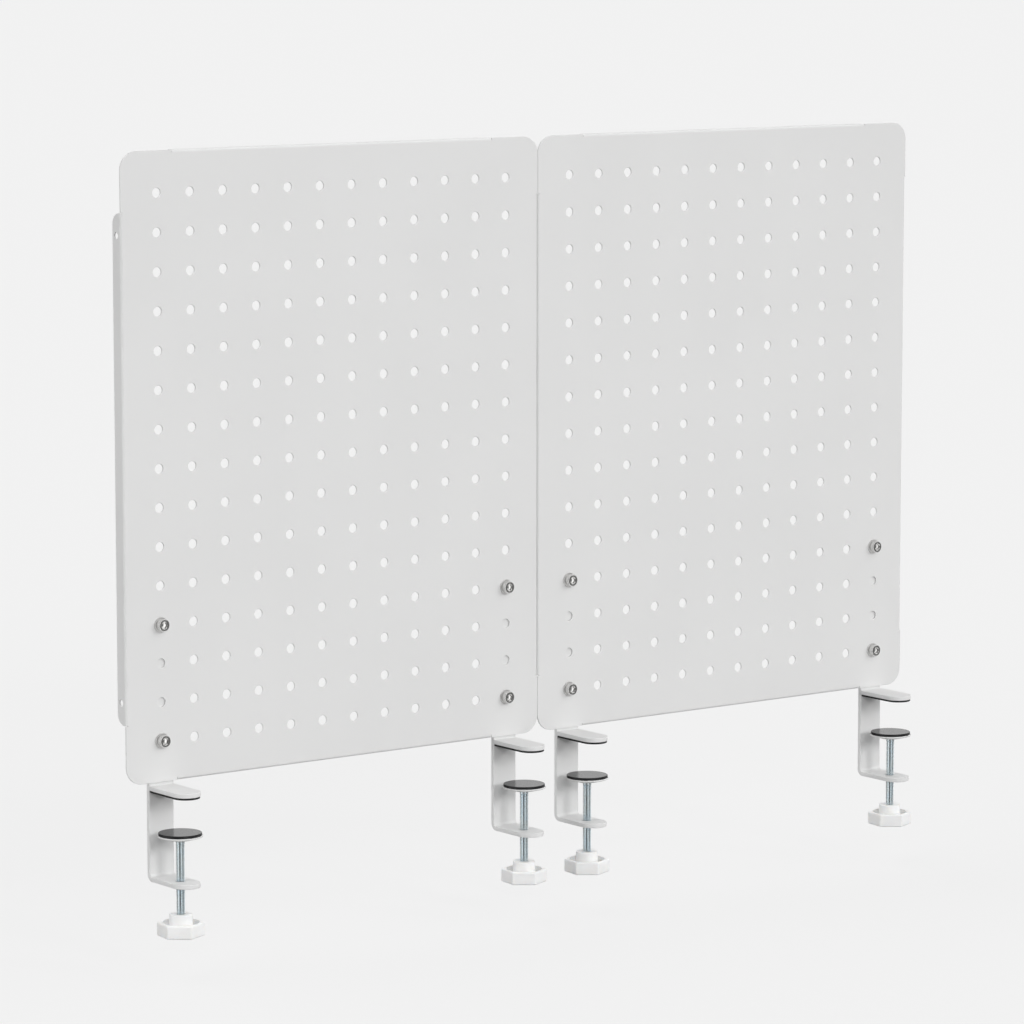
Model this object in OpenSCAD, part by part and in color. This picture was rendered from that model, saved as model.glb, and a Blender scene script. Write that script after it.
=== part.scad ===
// Pair of perforated steel peg boards, each standing on two screw clamps that
// grip the edge of a desk. X runs along the boards, Y into their back, Z up.
// The origin is midway between the boards, at the desk's edge and on its top.

/* [Peg boards] */
// Distance between the centres of neighbouring peg holes
hole_pitch = 25.4; // [24:0.1:30]
// Diameter of a peg hole
hole_d = 6.35; // [5.8:0.05:8]
// Columns of peg holes on each board
hole_cols = 12; // [6:1:16]
// Rows of peg holes on each board
hole_rows = 15; // [8:1:20]
// From the outer columns of holes to the side edges
side_margin = 27.2; // [22:0.1:34]
// From the outer rows of holes to the top and bottom edges
end_margin = 27.2; // [22:0.1:34]
// Thickness of the boards' sheet steel
sheet_t = 1.2; // [0.8:0.1:1.6]
// Radius of the boards' corners
corner_r = 12; // [4:0.5:20]
// Gap between the two boards
board_gap = 0.2; // [0.1:0.1:4]
// Gap between a board's lower edge and the jaws below it
board_clear = 2; // [1:0.1:6]

/* [Folded edges] */
// Depth of a folded edge, from the board's face to the free edge
fold_depth = 10; // [9.5:0.1:16]
// Outside radius of the fold
fold_r = 1.7; // [1.7:0.1:2.4]
// From a board's corner to the start of a folded edge
fold_stop = 39; // [37:0.5:60]
// Radius that rounds the ends of a folded edge
fold_end_r = 7.5; // [2:0.1:7.8]
// Diameter of a joining hole in the side edges
join_hole_d = 4.5; // [4.2:0.1:5]
// From the end of a folded edge to its joining hole
join_hole_inset = 15; // [10:0.5:40]
// From the board's face to the centre of a joining hole
join_hole_back = 5.8; // [5.6:0.1:6.2]

/* [Clamp brackets] */
// Width of the flat bar
bar_w = 19; // [16:0.5:22]
// Thickness of the flat bar
bar_t = 3; // [2.5:0.1:4]
// Inside radius of the bend between column and arm
bend_r = 2; // [1:0.1:4]
// From the desk's top to the top of the arm
clamp_opening = 55.7; // [50:0.1:70]
// Reach of the arm in front of the column
arm_len = 38; // [32:0.5:50]
// Rows of peg holes between the two bolts of a bracket
bolt_rows = 3; // [2:1:5]
// Diameter of a bolt hole in the bracket
bolt_hole_d = 5.5; // [5.2:0.1:5.8]

/* [Jaws] */
// Reach of the jaw in front of the column
jaw_len = 39; // [34:0.5:50]
// Thickness of the jaw
jaw_t = 3; // [2:0.1:5]
// Thickness of the foam pad under the jaw
jaw_pad_t = 1.3; // [1:0.1:4]
// From the jaw's edge to the edge of its pad
jaw_pad_inset = 0.4; // [0:0.1:1]

/* [Clamp screws] */
// Outside diameter of the screw's thread
screw_d = 6; // [5:0.1:8]
// Length of screw between the foot's neck and the knob
screw_len = 47.5; // [44:0.1:60]
// From the column to the screw's axis
screw_reach = 22; // [19:0.5:28]
// Thickness of the desk that the clamps hold at rest
desk_t = 23.7; // [10:0.1:27]
// Running clearance around the screw in the arm
thread_clear = 0.05; // [0.02:0.01:0.1]

/* [Feet] */
// Outside diameter of the foot's steel dish
dish_d = 29.6; // [24:0.1:32]
// Depth of the dish
dish_h = 3.2; // [2.8:0.1:5]
// Thickness of the dish's steel
dish_t = 1.2; // [0.8:0.1:1.4]
// Diameter of the rubber pad on the dish
foot_pad_d = 28.4; // [22:0.1:30]
// Thickness of the rubber pad
foot_pad_t = 1.8; // [1.5:0.1:4]
// Diameter of the spigot that carries the dish
spigot_d = 4; // [3:0.1:4.5]
// Gap between dish and spigot, all round
spigot_clear = 0.4; // [0.3:0.05:0.6]
// Gap above and below the dish's floor, which lets it tilt
tilt_clear = 0.35; // [0.3:0.05:0.5]

/* [Knobs] */
// Knob's width across its flats
knob_af = 27.4; // [24:0.1:32]
// Height of the hexagonal grip
knob_h = 9; // [8:0.5:14]
// Diameter of the hub above the grip
hub_d = 15; // [11:0.5:18]
// Height of the hub above the grip
hub_h = 5.5; // [3:0.5:8]
// Wall left round the hollow in the top of the grip
knob_wall = 1.6; // [1.2:0.1:2.5]
// Depth of that hollow
hollow_depth = 5; // [2:0.5:6]
// Length of screw moulded into the knob
screw_grip = 12; // [8:0.5:13]
// Turn of the knobs at rest
knob_turn = 23; // [0:1:60]

/* [Board bolts] */
// Bolt's thread diameter
bolt_d = 5; // [4.5:0.1:5.2]
// Length of a bolt below its head
bolt_len = 12; // [11:0.5:16]
// Diameter of a bolt's head
bolt_head_d = 8.5; // [7:0.1:9.5]
// Height of a bolt's head
bolt_head_h = 3.5; // [2.5:0.1:5]
// Width of the hexagon socket
bolt_socket_af = 4; // [3:0.1:4.5]
// Outside diameter of a washer
washer_d = 10; // [9:0.1:12]
// Thickness of a washer
washer_t = 1; // [0.5:0.1:1.5]
// Width of a nut across its flats
nut_af = 8; // [7:0.1:9]
// Height of a nut
nut_h = 4; // [3:0.1:5]

/* [Joining screws] */
// Joining screw's thread diameter
join_d = 4; // [3.5:0.1:4]
// Length of a joining screw below its head
join_len = 8; // [7:0.5:12]
// Diameter of a joining screw's head
join_head_d = 7; // [6:0.1:7.4]
// Height of a joining screw's head
join_head_h = 2.6; // [2:0.1:4]
// Width of the hexagon socket
join_socket_af = 2.5; // [2:0.1:3]
// Width of a joining nut across its flats
join_nut_af = 7; // [6:0.1:7.4]
// Height of a joining nut
join_nut_h = 3.2; // [2.4:0.1:4]

/* [Hidden] */
clamp_parts = ["bracket", "jaw", "jaw_pad", "clamp_screw", "knob", "foot_clip", "foot_dish",
               "foot_pad", "board_bolts", "board_washers", "board_nuts"];

// Far past any face that a cut goes through
overrun = 1;

// Boards, seen from the front
span_x = (hole_cols - 1) * hole_pitch;
span_z = (hole_rows - 1) * hole_pitch;
board_w = span_x + 2 * side_margin;
board_h = span_z + 2 * end_margin;
board_bottom = jaw_pad_t + jaw_t + board_clear;
board_x = (board_gap + board_w) / 2;
board_z = board_bottom + board_h / 2;
fold_side_len = board_h - 2 * fold_stop;
fold_end_len = board_w - 2 * fold_stop;
join_z = fold_side_len / 2 - join_hole_inset;

// Clamps, in the outermost columns of holes
clamp_x = [for (side = [-1, 1]) for (col = [-1, 1]) side * board_x + col * span_x / 2];
bolt_z = [for (row = [0, bolt_rows]) board_bottom + end_margin + row * hole_pitch];
bracket_top = bolt_z[1];
arm_top = -clamp_opening;
arm_bottom = arm_top - bar_t;

// Foot and screw, from the pad's top down to the knob
dish_top = -desk_t - foot_pad_t;
dish_bottom = dish_top - dish_h;
dish_floor = dish_bottom + dish_t;
dish_rim = 1.8;
dish_lip = 1;
dish_floor_r = 6.5;
spigot_r = spigot_d / 2;
dish_hole_r = spigot_r + spigot_clear;
clip_bottom = dish_floor + tilt_clear;
clip_t = 0.6;
clip_r = 4;
groove_r = 1.6;
spigot_top = clip_bottom + clip_t + tilt_clear;
shoulder = dish_bottom - tilt_clear;
neck_r = 2.7;
neck_h = 0.8;
hub_top = shoulder - neck_h - screw_len;
grip_top = hub_top - hub_h;
screw_end = hub_top - screw_grip;
end_chamfer = 0.5;

// Small rounds and bevels
knob_corner = 0.25;
knob_bevel = 0.8;
head_bevel = 0.4;
nut_bevel = 0.5;
pad_bevel = 0.3;

white = [0.9, 0.9, 0.89];
plastic_white = [0.86, 0.86, 0.85];
zinc = [0.62, 0.66, 0.7];
steel = [0.5, 0.5, 0.51];
black = [0.08, 0.08, 0.08];

// A flat outline in X and Z, made a plate of thickness t behind the plane y
module upright_plate(y, t) {
    translate([0, y + t, 0]) rotate([90, 0, 0]) linear_extrude(t) children();
}

// A rectangle with rounded corners, centred
module round_rect(w, h, r) {
    square([w - 2 * r, h], center = true);
    square([w, h - 2 * r], center = true);
    for (x = [-1, 1]) for (y = [-1, 1])
        translate([x * (w / 2 - r), y * (h / 2 - r)]) circle(r, $fn = 64);
}

// A strip of width w from the line y = 0 to y = len, with a full round end
module tongue_outline(w, len) {
    translate([-w / 2, 0]) square([w, len - w / 2]);
    translate([0, len - w / 2]) circle(w / 2, $fn = 64);
}

// The board's face as cut: holes, and the margins that are folded away
module board_outline() {
    difference() {
        round_rect(board_w, board_h, corner_r);
        for (side = [-1, 1]) {
            translate([side * (board_w / 2 + overrun / 2 - fold_r / 2), 0])
                square([fold_r + overrun, fold_side_len], center = true);
            translate([0, side * (board_h / 2 + overrun / 2 - fold_r / 2)])
                square([fold_end_len, fold_r + overrun], center = true);
        }
        for (col = [0 : hole_cols - 1]) for (row = [0 : hole_rows - 1])
            translate([col * hole_pitch - span_x / 2, row * hole_pitch - span_z / 2])
                circle(hole_d / 2, $fn = 32);
    }
}

// Section through a folded edge, Y back from the face, Z outward to the edge,
// with a tail that lies in the board's flat
module fold_section() {
    translate([0, -fold_r - overrun]) square([sheet_t, overrun]);
    translate([fold_r, -fold_r]) intersection() {
        difference() {
            circle(fold_r, $fn = 48);
            circle(fold_r - sheet_t, $fn = 48);
        }
        translate([-fold_r, 0]) square(fold_r);
    }
    translate([fold_r, -sheet_t]) square([fold_depth - fold_r, sheet_t]);
}

// A folded edge along X, its outer face on z = 0 and the board's face on y = 0
module folded_edge(len, joined) {
    difference() {
        intersection() {
            translate([-len / 2, 0, 0]) rotate([90, 0, 90]) linear_extrude(len) fold_section();
            translate([0, 0, -fold_r - 2 * overrun]) linear_extrude(fold_r + 3 * overrun) {
                translate([-len / 2, 0]) square([len, fold_depth - fold_end_r]);
                translate([fold_end_r - len / 2, 0]) square([len - 2 * fold_end_r, fold_depth]);
                for (x = [-1, 1])
                    translate([x * (len / 2 - fold_end_r), fold_depth - fold_end_r])
                        circle(fold_end_r, $fn = 64);
            }
        }
        if (joined) for (x = [-1, 1])
            translate([x * (len / 2 - join_hole_inset), join_hole_back, -sheet_t - overrun])
                cylinder(sheet_t + 2 * overrun, d = join_hole_d, $fn = 48);
    }
}

module board(x) {
    color(white) translate([x, -sheet_t, board_z]) {
        upright_plate(0, sheet_t) board_outline();
        for (turn = [0, 180])
            rotate([0, turn, 0]) translate([0, 0, board_h / 2]) folded_edge(fold_end_len, false);
        for (turn = [-90, 90])
            rotate([0, turn, 0]) translate([0, 0, board_w / 2]) folded_edge(fold_side_len, true);
    }
}

// One flat bar: it rises behind the board, stands as a column behind the
// desk's edge, and bends forward under the desk as the arm
module bracket(x) {
    bend_z = arm_top + bend_r;
    color(white) translate([x, 0, 0]) {
        upright_plate(0, bar_t) difference() {
            translate([0, bend_z]) tongue_outline(bar_w, bracket_top + bar_w / 2 - bend_z);
            for (z = bolt_z) translate([0, z]) circle(bolt_hole_d / 2, $fn = 48);
        }
        translate([0, -bend_r, bend_z]) rotate([-90, 0, 90])
            rotate_extrude(angle = 90, $fn = 64)
                translate([bend_r, -bar_w / 2]) square([bar_t, bar_w]);
        translate([0, 0, arm_bottom]) linear_extrude(bar_t) difference() {
            translate([0, -bend_r]) mirror([0, 1]) tongue_outline(bar_w, arm_len - bend_r);
            translate([0, -screw_reach]) circle(screw_d / 2 + thread_clear, $fn = 48);
        }
    }
}

// Upper jaw, welded to the front of the column just below the board
module jaw(x) {
    color(white) translate([x, 0, jaw_pad_t]) linear_extrude(jaw_t)
        mirror([0, 1]) tongue_outline(bar_w, jaw_len);
}

// Foam pad under the jaw, which rests on the desk
module jaw_pad(x) {
    color(black) translate([x, -jaw_pad_inset, 0]) linear_extrude(jaw_pad_t)
        mirror([0, 1]) tongue_outline(bar_w - 2 * jaw_pad_inset, jaw_len - 2 * jaw_pad_inset);
}

// Clamp screw: spigot, clip groove, neck, threaded length, and the end held in the knob
module clamp_screw(x) {
    r = screw_d / 2;
    color(zinc) translate([x, -screw_reach, 0]) rotate_extrude($fn = 64) polygon([
        [0, spigot_top],
        [groove_r, spigot_top],
        [spigot_r, spigot_top - (spigot_r - groove_r) / 2],
        [spigot_r, clip_bottom + clip_t],
        [groove_r, clip_bottom + clip_t],
        [groove_r, clip_bottom],
        [spigot_r, clip_bottom],
        [spigot_r, shoulder],
        [neck_r, shoulder],
        [neck_r, shoulder - neck_h],
        [r - end_chamfer / 2, shoulder - neck_h],
        [r, shoulder - neck_h - end_chamfer / 2],
        [r, screw_end + end_chamfer],
        [r - end_chamfer, screw_end],
        [0, screw_end]]);
}

// Hexagonal knob, hollow round its hub, moulded onto the screw
module knob(x) {
    corner = knob_af / 2 / cos(30);
    color(plastic_white) translate([x, -screw_reach, 0]) difference() {
        union() {
            translate([0, 0, grip_top - knob_h]) intersection() {
                rotate([0, 0, knob_turn]) cylinder(knob_h, r = corner, $fn = 6);
                rotate_extrude($fn = 96) polygon([
                    [0, 0],
                    [corner - knob_corner - knob_bevel, 0],
                    [corner - knob_corner, knob_bevel],
                    [corner - knob_corner, knob_h - knob_bevel],
                    [corner - knob_corner - knob_bevel, knob_h],
                    [0, knob_h]]);
            }
            translate([0, 0, grip_top - hollow_depth])
                cylinder(hollow_depth + hub_h, d = hub_d, $fn = 96);
        }
        difference() {
            translate([0, 0, grip_top - hollow_depth])
                cylinder(hollow_depth + overrun, r = knob_af / 2 - knob_wall, $fn = 96);
            translate([0, 0, grip_top - hollow_depth - overrun])
                cylinder(hollow_depth + hub_h + overrun, d = hub_d, $fn = 96);
        }
        translate([0, 0, screw_end]) cylinder(screw_grip + overrun, d = screw_d, $fn = 64);
    }
}

// Retaining clip in the groove of the spigot, above the dish's floor
module foot_clip(x) {
    color(steel) translate([x, -screw_reach, clip_bottom]) linear_extrude(clip_t) difference() {
        circle(clip_r, $fn = 64);
        circle(groove_r, $fn = 48);
    }
}

// Pressed steel dish, turned once round the screw's axis
module foot_dish(x) {
    r = dish_d / 2;
    color(white) translate([x, -screw_reach, 0]) rotate_extrude($fn = 96) polygon([
        [dish_hole_r, dish_bottom],
        [dish_floor_r, dish_bottom],
        [r, dish_top - dish_lip],
        [r, dish_top],
        [r - dish_rim, dish_top],
        [dish_floor_r, dish_floor],
        [dish_hole_r, dish_floor]]);
}

// Rubber pad on the dish, which presses up against the desk
module foot_pad(x) {
    r = foot_pad_d / 2;
    color(black) translate([x, -screw_reach, dish_top]) rotate_extrude($fn = 96) polygon([
        [0, 0],
        [r, 0],
        [r, foot_pad_t - pad_bevel],
        [r - pad_bevel, foot_pad_t],
        [0, foot_pad_t]]);
}

// Low cylinder head with a hexagon socket: the head stands above z = 0
module socket_screw(d, len, head_d, head_h, socket_af) {
    difference() {
        rotate_extrude($fn = 64) polygon([
            [0, head_h],
            [head_d / 2 - head_bevel, head_h],
            [head_d / 2, head_h - head_bevel],
            [head_d / 2, 0],
            [d / 2, 0],
            [d / 2, head_bevel - len],
            [d / 2 - head_bevel, -len],
            [0, -len]]);
        translate([0, 0, head_h / 2]) cylinder(head_h, d = socket_af / cos(30), $fn = 6);
    }
}

// Hexagon nut with bevelled corners, standing above z = 0
module hex_nut(af, h, d) {
    corner = af / 2 / cos(30);
    difference() {
        intersection() {
            rotate([0, 0, 30]) cylinder(h, r = corner, $fn = 6);
            rotate_extrude($fn = 64) polygon([
                [0, 0],
                [corner - nut_bevel, 0],
                [corner, nut_bevel],
                [corner, h - nut_bevel],
                [corner - nut_bevel, h],
                [0, h]]);
        }
        translate([0, 0, -overrun]) cylinder(h + 2 * overrun, d = d, $fn = 48);
    }
}

// The bolts, washers and nuts that hold a board to one bracket
module board_bolts(x) {
    color(steel) for (z = bolt_z)
        translate([x, -sheet_t - washer_t, z]) rotate([90, 0, 0])
            socket_screw(bolt_d, bolt_len, bolt_head_d, bolt_head_h, bolt_socket_af);
}

module board_washers(x) {
    color(steel) for (z = bolt_z)
        translate([0, 0, z]) upright_plate(-sheet_t - washer_t, washer_t) translate([x, 0])
            difference() {
                circle(washer_d / 2, $fn = 64);
                circle(bolt_hole_d / 2, $fn = 48);
            }
}

module board_nuts(x) {
    color(steel) for (z = bolt_z)
        translate([x, bar_t, z]) rotate([-90, 0, 0]) hex_nut(nut_af, nut_h, bolt_d);
}

// What joins the two boards through the holes in their facing side edges
module at_joining_holes() {
    for (side = [-1, 1]) translate([0, join_hole_back - sheet_t, board_z + side * join_z])
        rotate([0, 90, 0]) children();
}

module joining_screws() {
    color(steel) at_joining_holes() mirror([0, 0, 1]) translate([0, 0, board_gap / 2 + sheet_t])
        socket_screw(join_d, join_len, join_head_d, join_head_h, join_socket_af);
}

module joining_nuts() {
    color(steel) at_joining_holes() translate([0, 0, board_gap / 2 + sheet_t])
        hex_nut(join_nut_af, join_nut_h, join_d);
}

board(-board_x);  // board_left
board(board_x);  // board_right
for (k = [1 : 4]) {
    bracket(clamp_x[k - 1]);
    jaw(clamp_x[k - 1]);
    jaw_pad(clamp_x[k - 1]);
    clamp_screw(clamp_x[k - 1]);
    knob(clamp_x[k - 1]);
    foot_clip(clamp_x[k - 1]);
    foot_dish(clamp_x[k - 1]);
    foot_pad(clamp_x[k - 1]);
    board_bolts(clamp_x[k - 1]);
    board_washers(clamp_x[k - 1]);
    board_nuts(clamp_x[k - 1]);
}
joining_screws();
joining_nuts();
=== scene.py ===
"""Looks of a desk clamp pegboard, laid out as a Blender add-on and run as a script.

Two perforated steel boards with folded edges stand side by side on four clamps for a desk's edge.
Everything is in metres in the part's own frame: X along the boards, Y to their back, Z up.
"""

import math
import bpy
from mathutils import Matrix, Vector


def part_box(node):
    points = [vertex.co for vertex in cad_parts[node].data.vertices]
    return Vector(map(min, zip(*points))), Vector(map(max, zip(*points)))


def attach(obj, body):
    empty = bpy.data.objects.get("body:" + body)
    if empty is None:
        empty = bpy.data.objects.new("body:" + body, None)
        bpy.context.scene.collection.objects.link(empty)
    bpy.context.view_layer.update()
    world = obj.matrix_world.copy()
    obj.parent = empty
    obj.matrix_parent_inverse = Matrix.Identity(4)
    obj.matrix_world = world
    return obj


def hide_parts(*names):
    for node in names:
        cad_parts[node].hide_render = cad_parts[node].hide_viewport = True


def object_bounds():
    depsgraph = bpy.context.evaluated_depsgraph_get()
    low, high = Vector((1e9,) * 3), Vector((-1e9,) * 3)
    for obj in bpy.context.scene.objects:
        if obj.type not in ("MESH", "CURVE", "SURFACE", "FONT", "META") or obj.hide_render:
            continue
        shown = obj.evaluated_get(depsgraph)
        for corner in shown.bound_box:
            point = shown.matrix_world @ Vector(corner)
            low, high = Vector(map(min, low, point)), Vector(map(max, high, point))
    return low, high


bl_info = {
    "name": "Desk Clamp Pegboard",
    "version": (1, 0, 0),
    "blender": (4, 5, 0),
    "location": "View3D > Sidebar > Pegboard",
    "description": "Perforated steel boards on screw clamps, built around the part",
    "category": "Add Mesh",
}

import bmesh
import bpy
from bpy.props import FloatProperty, FloatVectorProperty, IntProperty, PointerProperty
from mathutils import Matrix, Vector

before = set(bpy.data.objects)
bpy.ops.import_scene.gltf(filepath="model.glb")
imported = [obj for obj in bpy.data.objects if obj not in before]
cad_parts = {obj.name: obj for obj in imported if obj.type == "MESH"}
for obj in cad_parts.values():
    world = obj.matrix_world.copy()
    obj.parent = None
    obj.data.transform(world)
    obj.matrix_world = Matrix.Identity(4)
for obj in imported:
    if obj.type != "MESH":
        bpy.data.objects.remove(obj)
CAD_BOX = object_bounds()

MM = 0.001
ROOT = "boards"
CLAMPS = (1, 2, 3, 4)
QUARTER = math.pi / 2
# How near points are merged, and how near a cut keeps to them, in metres
MERGE, SNAP = 1e-7, 1e-9


def number(name, default, description, **kind):
    return FloatProperty(name=name, default=default, description=description, **kind)


def length(name, default, description):
    """A size in metres, shown in the scene's own unit."""
    return number(name, default, description, unit="LENGTH", precision=5, min=0.0)


def colour(name, default, description):
    return FloatVectorProperty(name=name, default=default, description=description, subtype="COLOR", size=3,
                               min=0.0, max=1.0)


BOARD_LOW, BOARD_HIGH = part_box("board_left")
BRACKET_LOW, BRACKET_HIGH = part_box("bracket_1")


class BoardSizes(bpy.types.PropertyGroup):
    """Sizes of the perforated boards"""

    width: length("Width", BOARD_HIGH.x - BOARD_LOW.x, "Width of one board")
    height: length("Height", BOARD_HIGH.z - BOARD_LOW.z, "Height of one board")
    depth: length("Depth", BOARD_HIGH.y - BOARD_LOW.y, "Depth of the folded edges from the face")
    sheet: length("Sheet", 1.2 * MM, "Thickness of the sheet steel")
    pitch: length("Hole Pitch", 25.4 * MM, "Distance between peg holes")
    hole: length("Hole", 6.35 * MM, "Diameter of a peg hole")
    columns: IntProperty(name="Columns", default=12, min=1, description="Columns of peg holes")
    rows: IntProperty(name="Rows", default=15, min=1, description="Rows of peg holes")
    corner: length("Corner", 12 * MM, "Radius of the boards' corners")
    bend: length("Bend", 1.7 * MM, "Outside radius of the folds")
    stop: length("Fold Stop", 39 * MM, "From a board's corner to a fold's end")
    fold_end: length("Fold End", 7.5 * MM, "Radius at the ends of a folded edge")
    relief: length("Relief", 0.3 * MM, "Width of the cut that frees a fold's end from the flat")
    slit: length("Slit", 0.1 * MM, "How far that cut reaches past the bend")
    joining_hole: length("Joining Hole", 4.5 * MM, "Diameter of the joining holes in the side edges")
    joining_inset: length("Joining Inset", 15 * MM, "From a fold's end to its joining hole")
    joining_back: length("Joining Back", 5.8 * MM, "From the face to a joining hole's centre")
    rim: length("Rim", 0.28 * MM, "Rounding of the coated cut edges")


class ClampSizes(bpy.types.PropertyGroup):
    """Sizes of the bent bars, jaws, screws and knobs"""

    bar: length("Bar", BRACKET_HIGH.x - BRACKET_LOW.x, "Width of the flat bar")
    bar_thickness: length("Bar Thickness", 3 * MM, "Thickness of the bar and of the jaw")
    bend: length("Bend", 2 * MM, "Inside radius between column and arm")
    bolt_hole: length("Bolt Hole", 5.5 * MM, "Diameter of the bar's bolt holes")
    rim: length("Rim", 0.45 * MM, "Rounding of the bar's coated edges")
    pad_rim: length("Pad Rim", 0.35 * MM, "Rounding of the jaw pad's edges")
    weld: length("Weld", 0.9 * MM, "Leg of the weld between jaw and column")
    weld_stop: length("Weld Stop", 0.5 * MM, "From the bar's edge to the end of the weld")
    rod: length("Rod", 6 * MM, "Outside diameter of the clamp screw")
    lead: length("Lead", 1 * MM, "Pitch of the clamp screw's thread")
    thread_depth: length("Thread Depth", 0.6 * MM, "Depth of the clamp screw's thread")
    running: length("Running Gap", 0.05 * MM, "Gap round the screw in the arm")
    screw_end: length("Screw End", 0.5 * MM, "Chamfer at the clamp screw's lower end")
    neck: length("Neck", 5.4 * MM, "Diameter of the neck under the foot")
    neck_height: length("Neck Height", 0.8 * MM, "Height of the neck")
    tilt_gap: length("Tilt Gap", 0.35 * MM, "Gap between neck and foot, for the foot's tilt")
    spigot: length("Spigot", 4 * MM, "Diameter of the spigot that holds the foot")
    groove: length("Groove", 3.2 * MM, "Diameter of the groove for the clip")
    knob_flats: length("Knob Flats", 27.4 * MM, "Width of a knob across its flats")
    knob_height: length("Knob Height", 9 * MM, "Height of the hexagonal grip")
    knob_corner: length("Knob Corner", 1.6 * MM, "Rounding of the grip's six corners")
    knob_edge: length("Knob Edge", 1.1 * MM, "Rounding of the grip's upper and lower edges")
    knob_turn: number("Knob Turn", math.radians(23), "Turn of the knobs at rest", unit="ROTATION")
    hub: length("Hub", 15 * MM, "Diameter of the knob's hub")
    hollow: length("Hollow", 5 * MM, "Depth of the hollow round the hub")
    knob_wall: length("Knob Wall", 1.6 * MM, "Wall round the hollow")
    knob_dent: length("Knob Dent", 0.9 * MM, "Depth of the recess under a knob")
    screw_seat: length("Screw Seat", 2 * MM, "Depth of the hub's modelled bore")


class FootSizes(bpy.types.PropertyGroup):
    """Sizes of the swivelling feet"""

    hole: length("Hole", 4.8 * MM, "Diameter of the dish's hole")
    floor: length("Floor", 13 * MM, "Diameter of the dish's floor")
    sheet: length("Sheet", 1.2 * MM, "Thickness of the dish's sheet")
    rim: length("Rim", 1.8 * MM, "Width of the dish's rim")
    lip: length("Lip", 1 * MM, "Height of the dish's upright edge")
    clip_gap: number("Clip Gap", math.radians(50), "Opening of a retaining clip", unit="ROTATION")


class BoltSizes(bpy.types.PropertyGroup):
    """Sizes of the screws, washers and nuts"""

    bolt: length("Bolt", 5 * MM, "Thread diameter of the board bolts")
    bolt_lead: length("Bolt Lead", 0.8 * MM, "Pitch of the board bolts' thread")
    head: length("Head", 8.5 * MM, "Diameter of a bolt's head")
    head_height: length("Head Height", 3.5 * MM, "Height of a bolt's head")
    socket: length("Socket", 4 * MM, "Width of the hexagon socket")
    head_edge: length("Head Edge", 0.82 * MM, "Rounding of a head's edge")
    washer: length("Washer", 10 * MM, "Outside diameter of a washer")
    washer_bore: length("Washer Bore", 5.5 * MM, "Inside diameter of a washer")
    nut: length("Nut", 8 * MM, "Width of a nut across its flats")
    joining: length("Joining Screw", 4 * MM, "Thread diameter of the joining screws")
    joining_lead: length("Joining Lead", 0.7 * MM, "Pitch of the joining screws' thread")
    joining_head: length("Joining Head", 7 * MM, "Diameter of a joining screw's head")
    joining_head_height: length("Joining Head Height", 2.6 * MM, "Height of a joining screw's head")
    joining_socket: length("Joining Socket", 2.5 * MM, "Width of a joining screw's socket")
    joining_nut: length("Joining Nut", 7 * MM, "Width of a joining nut across its flats")


class FinishColours(bpy.types.PropertyGroup):
    """Base colours of the finishes"""

    coat: colour("Powder Coat", (0.765, 0.765, 0.762), "White satin powder coat")
    plastic: colour("Knob Plastic", (0.92, 0.92, 0.915), "White nylon of the knobs")
    rubber: colour("Rubber", (0.022, 0.022, 0.023), "Black rubber of the feet")
    foam: colour("Pad", (0.012, 0.012, 0.0125), "Black pad under the jaws")
    zinc: colour("Zinc", (0.70, 0.75, 0.765), "Blue zinc plate of the clamp screws and nuts")
    nickel: colour("Nickel", (0.74, 0.735, 0.725), "Nickel plate of the bolts")
    spring: colour("Spring Steel", (0.42, 0.42, 0.43), "Retaining clips")


class StageSettings(bpy.types.PropertyGroup):
    """Camera, backdrop and light"""

    lens: number("Lens", 162.11, "Focal length in millimetres", subtype="DISTANCE_CAMERA")
    azimuth: number("Azimuth", math.radians(-37.004), "Turn of the camera about Z", unit="ROTATION")
    dip: number("Dip", math.radians(7.475), "How far the camera looks down", unit="ROTATION")
    eye: FloatVectorProperty(name="Eye", default=(-1.9004, -2.4936, 0.5703), size=3, subtype="TRANSLATION",
                             unit="LENGTH", description="Where the camera stands")
    floor_radius: length("Floor Radius", 60, "Radius of the floor")
    floor_drop: length("Floor Drop", 27 * MM, "From the knobs at rest to the floor")
    backdrop: number("Backdrop", 0.880, "Brightness of the background")
    shadow: number("Shadow", 0.12, "How much of its real shade the floor shows", subtype="FACTOR")
    paper: number("Paper", 0.93, "Brightness of the paper that shows the shade")
    bounce: number("Bounce", 0.38, "Brightness of the paper that lights the object")
    walls: number("Walls", 0.15, "Radiance of the studio's walls")


def shares(steps):
    """Even steps from 0 to 1, both included."""
    return [n / steps for n in range(steps + 1)]


def arc(centre, radius, start, end, steps):
    """Points of a circular arc in a plane, both ends included."""
    turns = [start + (end - start) * t for t in shares(steps)]
    return [(centre[0] + radius * math.cos(a), centre[1] + radius * math.sin(a)) for a in turns]


def circle(centre, diameter, steps=32):
    return arc(centre, diameter / 2, 0, 2 * math.pi, steps)[:-1]


def outset(loop, distance):
    """A counter-clockwise loop moved outwards by distance, with mitred corners."""
    points = []
    for before, here, after in zip(loop[-1:] + loop[:-1], loop, loop[1:] + loop[:1]):
        one = Vector((here[1] - before[1], before[0] - here[0])).normalized()
        two = Vector((after[1] - here[1], here[0] - after[0])).normalized()
        mitre = (one + two) / (1 + one.dot(two))
        points.append((here[0] + distance * mitre.x, here[1] + distance * mitre.y))
    return points


def skin(bm, rings):
    """Quads, or triangles at a pole, from each closed ring of vertices to the next."""
    for low, high in zip(rings, rings[1:]):
        count = max(len(low), len(high))
        for i in range(count):
            j = (i + 1) % count
            corners = [low[i % len(low)], low[j % len(low)], high[j % len(high)], high[i % len(high)]]
            bm.faces.new([c for n, c in enumerate(corners) if c not in corners[:n]])


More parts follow.
